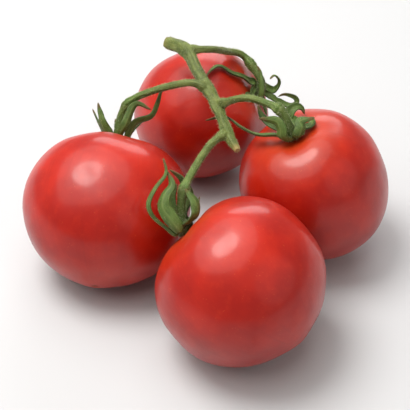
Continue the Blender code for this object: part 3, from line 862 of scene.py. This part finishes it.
# For each fruit: the turn of its first sepal in degrees, then for each sepal its greatest
# width, the points it passes from the seat (across, up, out), all in millimetres, how far it
# twists in degrees, how deeply it is cupped, and how fresh its green is.
SEPAL_PLANS = {
    "front": (
        190,
        (
            2.0,
            [
                (-5.6, 0.5, 1.0), (-9.0, 3.5, 2.4), (-10.1, 6.9, 3.2), (-8.1, 11.2, 3.0),
                (-5.3, 15.1, 2.5), (-6.0, 19.0, 2.0),
            ],
            30,
            0.8,
            0.3,
        ),
        (
            5.0,
            [
                (-3.5, 2.2, 4.0), (-6.1, 6.0, 4.0), (-5.5, 9.5, 3.6), (-3.8, 12.1, 3.0),
                (-4.9, 15.5, 2.2),
            ],
            -30,
            1.0,
            0.6,
        ),
        (
            5.0,
            [
                (0.9, 2.0, 3.4), (2.9, 4.3, 3.2), (2.4, 7.3, 2.8), (-0.2, 10.8, 2.2),
            ],
            -110,
            0.6,
            0.4,
        ),
        (3.4, [(2.6, 4.6, -1.7), (3.5, 8.6, -2.4)], 0, 0.8, 0.2),
        (
            4.4,
            [
                (-1.1, 4.2, -4.0), (0.8, 9.0, -4.2), (-0.9, 13.4, -3.4), (-4.4, 16.0, -2.4),
            ],
            0,
            0.8,
            0.3,
        ),
        (4.4, [(-3.5, 3.3, -3.2), (-4.2, 7.7, -3.2), (-2.6, 12.1, -2.4)], 0, 0.8, 0.3),
    ),
    "right": (
        130,
        (
            3.2,
            [
                (-4.6, 2.2, -2.2), (-7.0, 3.9, -3.2), (-8.5, 5.7, -4.0), (-9.4, 8.5, -4.5),
            ],
            0,
            0.8,
            0.3,
        ),
        (
            2.8,
            [
                (-5.0, -0.3, 1.4), (-9.5, -0.2, -0.4), (-14.0, 2.0, -4.2),
                (-18.6, 5.3, -7.2), (-24.2, 4.5, -8.5),
            ],
            60,
            0.9,
            0.5,
        ),
        (
            4.2,
            [
                (-3.5, -0.9, 4.6), (-3.7, 1.5, 5.6), (-5.1, 3.5, 5.6), (-9.5, 4.3, 4.6),
            ],
            20,
            0.9,
            0.8,
        ),
        (
            4.2,
            [
                (1.3, -0.5, 4.4), (2.2, 1.8, 4.8), (1.8, 3.6, 4.2), (5.7, 4.6, 2.8),
            ],
            -20,
            0.9,
            0.3,
        ),
        (
            3.0,
            [
                (5.2, 1.4, 0.1), (5.5, 2.9, -0.4), (4.7, 4.1, -0.9), (3.1, 3.9, -1.4),
            ],
            0,
            0.9,
            0.5,
        ),
        (
            4.2,
            [
                (-1.2, 4.6, -3.6), (-0.3, 6.8, -3.3), (1.4, 8.1, -3.4), (3.0, 7.5, -3.7),
                (3.6, 6.1, -4.0),
            ],
            0,
            0.9,
            0.5,
        ),
    ),
    "back": (
        66,
        (
            3.2,
            [
                (-2.8, 2.2, 3.6), (-5.2, 3.1, 5.4), (-8.3, 3.6, 7.0), (-11.3, 6.2, 7.8),
                (-13.8, 4.9, 9.0), (-16.0, 2.1, 10.6),
            ],
            40,
            0.9,
            0.3,
        ),
        (2.4, [(-2.2, -1.8, 5.0), (-3.8, -1.6, 6.4), (-4.8, -3.6, 7.0)], 0, 0.8, 0.4),
        (2.0, [(1.5, -1.1, 4.8), (1.5, 2.3, 5.4), (1.3, 5.3, 5.0), (0.4, 7.3, 4.6)], 0, 0.8, 0.6),
        (3.0, [(2.3, -4.0, 0.8), (3.3, -7.0, 0.8)], 0, 0.8, 0.5),
        (
            3.0,
            [
                (4.9, -1.8, -1.8), (8.0, -3.4, -2.5), (11.0, -4.3, -2.5),
                (12.9, -3.3, -2.5), (12.4, -1.6, -2.5), (9.3, -0.6, -2.5),
                (7.3, -1.1, -2.5),
            ],
            0,
            0.9,
            0.6,
        ),
        (
            2.8,
            [
                (5.2, 0.6, -3.2), (7.0, 1.6, -1.8), (7.4, 3.6, -0.4), (5.8, 5.0, 0.8),
                (4.4, 3.8, 1.6),
            ],
            0,
            0.9,
            0.6,
        ),
    ),
    "left": (
        40,
        (3.4, [(4.2, 3.0, -3.6), (7.0, 6.0, -5.0)], 0, 0.8, 0.3),
        (3.4, [(0.0, 3.4, -5.4), (-1.0, 7.0, -8.0)], 0, 0.8, 0.3),
        (3.6, [(-5.0, 4.4, -2.0), (-7.2, 9.5, -2.4)], 0, 0.8, 0.4),
        (4.2, [(-4.2, 5.6, 2.6), (-5.2, 11.0, 2.6)], 0, 0.8, 0.4),
        (3.0, [(2.8, 5.0, 4.0), (5.6, 10.7, 3.8), (9.9, 9.2, 4.4)], 0, 0.8, 0.4),
        (
            3.4,
            [
                (5.4, 5.2, 1.2), (10.2, 7.1, 1.0), (12.1, 10.9, 0.6), (13.2, 15.2, 0.3),
                (15.8, 16.9, 0.0), (18.7, 16.9, -0.6),
            ],
            30,
            0.9,
            0.4,
        ),
    ),
}
SEPAL_COUNT = 6
SEPAL_ROWS, SEPAL_COLUMNS = 48, 10
SEPAL_ROOT_WIDTH = 2.3 * MM
SEPAL_TIP_WIDTH = 0.45 * MM
SEPAL_THICKNESS = 0.42 * MM
SEPAL_WIDEST_AT = 0.25
SEPAL_RIM = RECEPTACLE_RADIUS + 0.7 * MM
SKIN_CLEARANCE = 0.75 * MM
STEM_CLEARANCE = 0.4 * MM
EDGE_WAVE = 0.05
FRILL = 0.10
MIDRIB_FOLD = 0.10 * MM
TIP_POINT = 0.5 * MM


def sepal_width(share, widest):
    """Width along a sepal: narrow root, widest at a quarter of the way, long thin tip."""
    if share < SEPAL_WIDEST_AT:
        return SEPAL_ROOT_WIDTH + (widest - SEPAL_ROOT_WIDTH) * math.sin(2 * math.pi * share)
    fade = math.cos(math.pi / 2 * (share - SEPAL_WIDEST_AT) / (1 - SEPAL_WIDEST_AT))
    return SEPAL_TIP_WIDTH + (widest - SEPAL_TIP_WIDTH) * fade


def clear_of_stem(place, route, radius, clearance):
    """The place itself, or one moved straight off a stem until it is clear of its side."""
    nearest = min(route, key=lambda point: (point - place).length_squared)
    step = place - nearest
    if step.length < radius + clearance:
        return nearest + step.normalized() * (radius + clearance)
    return place


def point_tip(obj, last):
    """Draws the last row of a sepal together into a point, a little further on."""
    place, _, _, along = last
    apart = points_of(obj.data) - np.array(place)
    at_end = (np.linalg.norm(apart, axis=1) < 1.2 * MM) & (apart @ np.array(along) > -0.08 * MM)
    pick(obj)
    bpy.ops.object.mode_set(mode="EDIT")
    bpy.ops.mesh.select_all(action="DESELECT")
    bpy.ops.object.mode_set(mode="OBJECT")
    obj.data.vertices.foreach_set("select", at_end)
    bpy.ops.object.mode_set(mode="EDIT")
    bpy.ops.transform.translate(value=along * TIP_POINT)
    bpy.ops.mesh.merge(type="CENTER")
    bpy.ops.object.mode_set(mode="OBJECT")


def add_sepal(fruit, number, angle, plan, seed):
    widest, steps, twist, cup, fresh = plan
    chance = random.Random(seed)
    stem = fruit_stems[fruit.name]
    spoke = fruit.turn @ Vector((math.cos(angle), math.sin(angle), 0))
    lift = fruit.height_at(SEPAL_RIM + 2 * MM) - fruit.height_at(RECEPTACLE_RADIUS)
    root = fruit.seat + 1.5 * MM * spoke + 0.75 * MM * fruit.pole
    foot = fruit.seat + SEPAL_RIM * spoke + (lift + 0.6 * MM) * fruit.pole
    guides = [root, foot, *(fruit.seat + leaned(*step) for step in steps)]
    route = smooth_route(guides, SEPAL_ROWS + 1)
    for i in range(4, SEPAL_ROWS + 1):
        half = sepal_width(i / SEPAL_ROWS, widest * MM) / 2
        clearance = STEM_CLEARANCE + 0.5 * half
        route[i] = clear_of_stem(route[i], stem.route, STALK_RADIUS, clearance)
        for other in fruits.values():
            route[i] = other.clear_of_skin(route[i], SKIN_CLEARANCE)
    frames = carried_frames(eased(route[:1] + route + route[-1:])[1:-1], fruit.pole)

    deselect()
    bpy.ops.mesh.primitive_grid_add(
        x_subdivisions=SEPAL_COLUMNS, y_subdivisions=SEPAL_ROWS, size=2
    )
    obj = added(f"{fruit.name}_sepal_{number}_leaf")
    waves = [chance.uniform(0, 6.28) for _ in range(4)]
    along, across = [], []
    for vert in obj.data.vertices:
        share, off = (vert.co.y + 1) / 2, vert.co.x
        place, side, up, way = frames[round(share * SEPAL_ROWS)]
        turn = Matrix.Rotation(math.radians(twist) * share, 3, way)
        side, up = turn @ side, turn @ up
        wave = math.sin(23 * share + waves[0]) * (off > 0)
        wave += math.sin(19 * share + waves[1]) * (off < 0)
        half = sepal_width(share, widest * MM) / 2 * (1 + EDGE_WAVE * wave)
        bend = cup * (1.2 - 0.5 * share)
        level = half * (1 - math.cos(bend * off)) / bend
        spread = half * math.sin(bend * off) / bend
        frill = FRILL * half * off**2 * math.sin(15 * share + waves[2 if off > 0 else 3])
        fold = -MIDRIB_FOLD * bump(off, 0.16) * (1 - share)
        vert.co = place + side * spread + up * (level + frill + fold)
        along.append(share)
        across.append(off)
    put_attribute(obj.data, "along", along)
    put_attribute(obj.data, "across", across)
    along = np.array(along)
    put_attribute(obj.data, "fresh", fresh * (1 - 0.6 * along))
    dry_from = chance.uniform(0.82, 0.92)
    put_attribute(obj.data, "dry", np.clip((along - dry_from) / 0.08, 0, 1) * 0.85)
    finish_with(obj, "SOLIDIFY", thickness=SEPAL_THICKNESS, offset=0)
    point_tip(obj, frames[-1])
    finish_with(obj, "SUBSURF", levels=1, render_levels=1)
    pick(obj)
    bpy.ops.object.shade_smooth()
    return keep(obj, "sepal_leaf", LEAF, f"{fruit.name}_sepal_{number}")


# ---------------------------------------------------------------- fuzz

HAIR_SIDES = 3
HAIR_LEAN = 0.35
HAIR_BEND = 0.25
HAIR_ROOT_DEPTH = 0.05 * MM


def hair_shape():
    """One hair: a thin straight cone with a ring cut a little over halfway up so that it can be
    bent when grown, one metre tall and standing on +Z.
    """
    deselect()
    bpy.ops.mesh.primitive_cone_add(
        vertices=HAIR_SIDES, radius1=0.045, radius2=0.012, depth=1, location=(0, 0, 0.5)
    )
    hair = added("hair_shape")
    settle(hair)
    bpy.ops.object.mode_set(mode="EDIT")
    bpy.ops.mesh.select_all(action="SELECT")
    bpy.ops.mesh.bisect(plane_co=(0, 0, 0.55), plane_no=(0, 0, 1))
    bpy.ops.object.mode_set(mode="OBJECT")
    return hair


def grow_hairs(name, hosts, count, length, hair, seed):
    """Hairs stood at random over the hosts, all in one mesh."""
    chance = np.random.default_rng(seed)
    corners = []
    for host in hosts:
        mesh = host.data
        mesh.calc_loop_triangles()
        index = np.empty(len(mesh.loop_triangles) * 3, np.int64)
        mesh.loop_triangles.foreach_get("vertices", index)
        corners.append(points_of(mesh)[index.reshape(-1, 3)])
    corners = np.concatenate(corners)
    cross = np.cross(corners[:, 1] - corners[:, 0], corners[:, 2] - corners[:, 0])
    area = np.linalg.norm(cross, axis=1)
    chosen = chance.choice(len(corners), count, p=area / area.sum())
    share = np.sort(chance.random((count, 2)), axis=1)
    weights = np.stack([share[:, 0], share[:, 1] - share[:, 0], 1 - share[:, 1]], axis=1)
    roots = (corners[chosen] * weights[:, :, None]).sum(1)
    out = cross[chosen] / area[chosen, None] + chance.normal(0, HAIR_LEAN, (count, 3))
    out /= np.linalg.norm(out, axis=1, keepdims=True)
    side = np.cross(out, chance.normal(0, 1, (count, 3)))
    side /= np.linalg.norm(side, axis=1, keepdims=True)
    other = np.cross(out, side)
    tall = length * chance.uniform(0.45, 1.25, count)
    shape = points_of(hair.data)
    bent = shape[:, 2] ** 2 * HAIR_BEND
    places = (
        roots[:, None]
        - out[:, None] * HAIR_ROOT_DEPTH
        + out[:, None] * (shape[:, 2] * tall[:, None])[:, :, None]
        + side[:, None] * (shape[:, 0] * length + bent * tall[:, None])[:, :, None]
        + other[:, None] * (shape[:, 1] * length)[None, :, None]
    )
    faces = [tuple(face.vertices) for face in hair.data.polygons]
    size = len(shape)
    mesh = bpy.data.meshes.new(name)
    mesh.from_pydata(
        places.reshape(-1, 3).tolist(),
        [],
        [tuple(v + size * i for v in face) for i in range(count) for face in faces],
    )
    obj = bpy.data.objects.new(name, mesh)
    bpy.context.scene.collection.objects.link(obj)
    return keep(obj, "green_stem", FUZZ)


# ---------------------------------------------------------------- putting it together

for seed, fruit in enumerate(fruits.values(), 1):
    add_fruit(fruit, seed)

outline = ribbed_outline()
branch = add_branch(outline)
stalks = [add_stalk(name, outline) for name in fruits]
bpy.data.objects.remove(outline)

leaves = []
for name, (first_turn, *plans) in SEPAL_PLANS.items():
    for number, plan in enumerate(plans, 1):
        angle = math.radians(first_turn + 360 / SEPAL_COUNT * (number - 1))
        leaves.append(add_sepal(fruits[name], number, angle, plan, len(leaves)))

hair = hair_shape()
# Each mesh of hairs: its name, what they grow on, how many there are, and how long they are.
hairy = (
    ("branch_fuzz", [branch], 5200, 0.55 * MM),
    ("stalk_fuzz", stalks, 2400, 0.6 * MM),
    ("sepal_fuzz", leaves, 5200, 0.4 * MM),
)
for seed, (name, hosts, count, length) in enumerate(hairy, 1):
    grow_hairs(name, hosts, count, length, hair, seed)
bpy.data.objects.remove(hair)

# ---------------------------------------------------------------- table, light and camera

TABLE_SIZE = 6
WHITE = (1, 1, 1)
WARM = (1, 0.97, 0.93)

# Each light's place, the point it shines at, its two widths, its watts and its colour.
SOFTBOXES = {
    "key_softbox": ((-0.22, 0.05, 0.62), (0, 0, 0), (0.34, 0.34), 3.4, WARM),
    "key_glow": ((-0.24, 0.05, 0.68), (0, 0, 0), (1.2, 1.2), 6.2, WARM),
    "fill_softbox": ((0.75, -0.55, 0.6), (0, 0, 0.02), (1.3, 1.0), 1.8, WARM),
    "rim_softbox": ((0.1, 0.7, 0.4), (0, 0, 0.02), (0.6, 0.3), 2, WHITE),
}


def add_table():
    deselect()
    bpy.ops.mesh.primitive_plane_add(size=TABLE_SIZE, location=(0, 0, 0))
    table = added("table")
    table.data.materials.append(table_white())


def add_softbox(name, place, target, size, watts, colour):
    light = bpy.data.lights.new(name, "AREA")
    light.shape = "ELLIPSE"
    light.size, light.size_y = size
    light.energy = watts
    light.color = colour
    obj = bpy.data.objects.new(name, light)
    obj.location = place
    obj.rotation_euler = (Vector(target) - Vector(place)).to_track_quat("-Z", "Y").to_euler()
    bpy.context.scene.collection.objects.link(obj)


def add_sky():
    world = bpy.data.worlds.new("pale_room")
    bpy.context.scene.world = world
    world.use_nodes = True
    backdrop = world.node_tree.nodes["Background"]
    backdrop.inputs["Color"].default_value = (1.0, 0.965, 0.91, 1)
    backdrop.inputs["Strength"].default_value = 0.3


CAMERA_ELEVATION = math.radians(42)
CAMERA_DISTANCE = 356.25 * MM
CAMERA_LENS = 108
TRUSS_MIDDLE = Vector((-0.89, 1.71, 20.9)) * MM
AIM_RIGHT, AIM_UP = 0.2 * MM, -4.6 * MM


def add_camera():
    back = Vector((0, -math.cos(CAMERA_ELEVATION), math.sin(CAMERA_ELEVATION)))
    screen_up = Vector((0, math.sin(CAMERA_ELEVATION), math.cos(CAMERA_ELEVATION)))
    place = TRUSS_MIDDLE + back * CAMERA_DISTANCE
    aim = TRUSS_MIDDLE + Vector((AIM_RIGHT, 0, 0)) + screen_up * AIM_UP
    lens = bpy.data.cameras.new("camera")
    lens.lens = CAMERA_LENS
    lens.clip_start = 10 * MM
    camera = bpy.data.objects.new("camera", lens)
    camera.location = place
    camera.rotation_euler = (aim - place).to_track_quat("-Z", "Y").to_euler()
    bpy.context.scene.collection.objects.link(camera)
    bpy.context.scene.camera = camera


add_table()
add_sky()
for name, settings in SOFTBOXES.items():
    add_softbox(name, *settings)
add_camera()
bpy.context.scene.view_settings.view_transform = "Standard"

bpy.context.view_layer.update()
